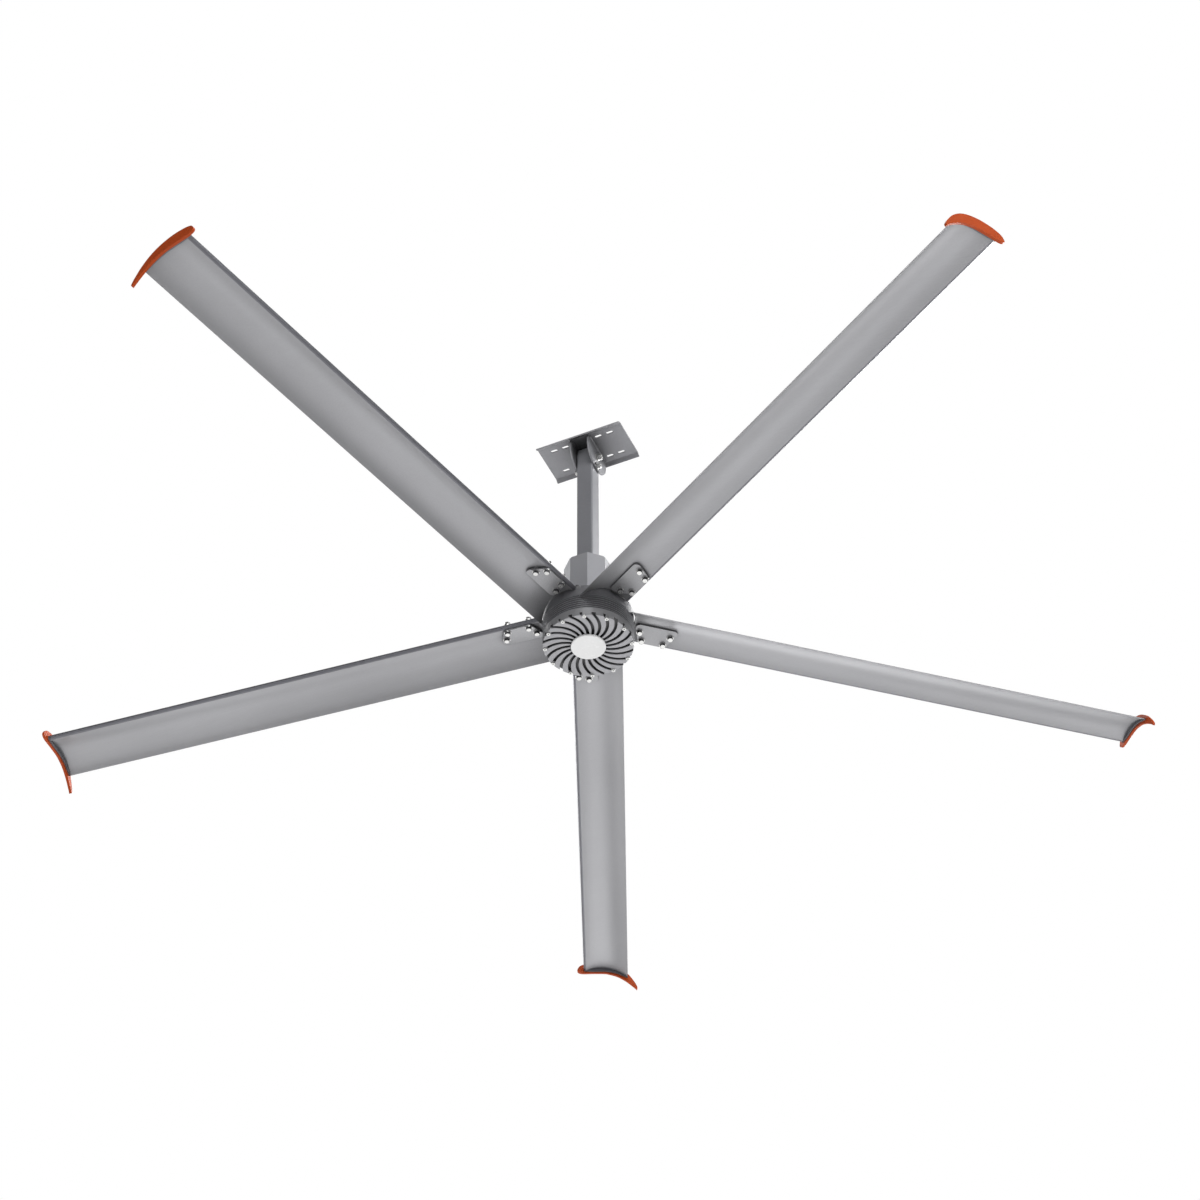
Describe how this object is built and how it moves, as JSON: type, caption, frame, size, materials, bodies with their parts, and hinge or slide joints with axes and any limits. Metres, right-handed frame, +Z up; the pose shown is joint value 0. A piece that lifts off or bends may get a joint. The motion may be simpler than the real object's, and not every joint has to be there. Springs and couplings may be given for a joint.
{
  "type": "ceiling fan",
  "caption": "Large slow ceiling fan: slotted bracket, pivoting square drop tube, octagonal collar, finned hub motor and broad hollow blades with upturned coloured winglets.",
  "frame": {"origin": "middle of the ceiling plate's upper face, where it meets the ceiling, on the fan's vertical axis", "axes": "+Z up into the ceiling, along the fan's axis; +X along the ceiling plate's long side, which is also the tilt axis; +Y across it, right-handed"},
  "size_m": [3.798, 3.8943, 0.9685],
  "materials": {
    "bracket_paint": "satin",
    "zinc_steel": "satin",
    "tube_paint": "satin",
    "collar_paint": "satin",
    "frame_steel": "satin",
    "bronze": "satin",
    "rubber": "matte",
    "ground_steel": "ground",
    "bearing_steel": "polished",
    "cast_carrier": "as cast",
    "core_steel": "laminated",
    "copper": "enamelled",
    "magnet": "plated",
    "cast_dark": "satin paint",
    "fin_casting": "satin paint",
    "badge_cap": "gloss",
    "arm_paint": "satin paint",
    "blade_aluminium": "satin anodised",
    "tip_plastic": "matte",
    "winglet_plastic": "satin gloss"
  },
  "bodies": {
    "bracket": {"ceiling_plate": "bracket_paint", "pivot_ears": "bracket_paint", "pivot_bolt": "zinc_steel", "pivot_nut": "zinc_steel", "pivot_washers": "zinc_steel"},
    "drop": {"down_tube": "tube_paint", "pivot_bush": "bronze", "lock_bolt": "zinc_steel", "lock_nut": "zinc_steel", "lock_washers": "zinc_steel", "cable_grommet": "rubber", "collar_panel_1": "collar_paint", "collar_panel_2": "collar_paint", "collar_panel_3": "collar_paint", "collar_panel_4": "collar_paint", "collar_frame_top": "frame_steel", "collar_frame_bottom": "frame_steel", "collar_bolts": "zinc_steel", "tube_base": "tube_paint", "base_bolts": "zinc_steel", "main_shaft": "ground_steel", "stator_carrier": "cast_carrier", "stator_core": "core_steel", "stator_windings": "copper", "upper_bearing_inner": "bearing_steel", "lower_bearing_inner": "bearing_steel", "shaft_nut": "ground_steel"},
    "rotor": {"top_cover": "cast_dark", "rotor_drum": "cast_dark", "back_iron": "core_steel", "magnets": "magnet", "bottom_cover": "fin_casting", "badge_cap": "badge_cap", "rim_screws": "zinc_steel", "shaft_seal": "rubber", "upper_bearing_outer": "bearing_steel", "lower_bearing_outer": "bearing_steel", "bearing_balls": "bearing_steel", "arm_1": "arm_paint", "arm_2": "arm_paint", "arm_3": "arm_paint", "arm_4": "arm_paint", "arm_5": "arm_paint", "arm_bolts": "zinc_steel", "clamp_plates": "zinc_steel", "clamp_spacers": "zinc_steel", "blade_1": "blade_aluminium", "blade_2": "blade_aluminium", "blade_3": "blade_aluminium", "blade_4": "blade_aluminium", "blade_5": "blade_aluminium", "blade_bolts": "zinc_steel", "blade_washers": "zinc_steel", "blade_nuts": "zinc_steel", "tip_plugs": "tip_plastic", "winglet_1": "winglet_plastic", "winglet_2": "winglet_plastic", "winglet_3": "winglet_plastic", "winglet_4": "winglet_plastic", "winglet_5": "winglet_plastic"}
  },
  "joints": [
    {"name": "tilt", "type": "hinge", "parent": "bracket", "child": "drop", "pos_m": [0, 0, -0.053], "axis": [1, 0, 0], "range_deg": [-15, 15]},
    {"name": "spin", "type": "hinge", "parent": "drop", "child": "rotor", "pos_m": [0, 0, -0.835], "axis": [0, 0, 1], "continuous": true}
  ]
}
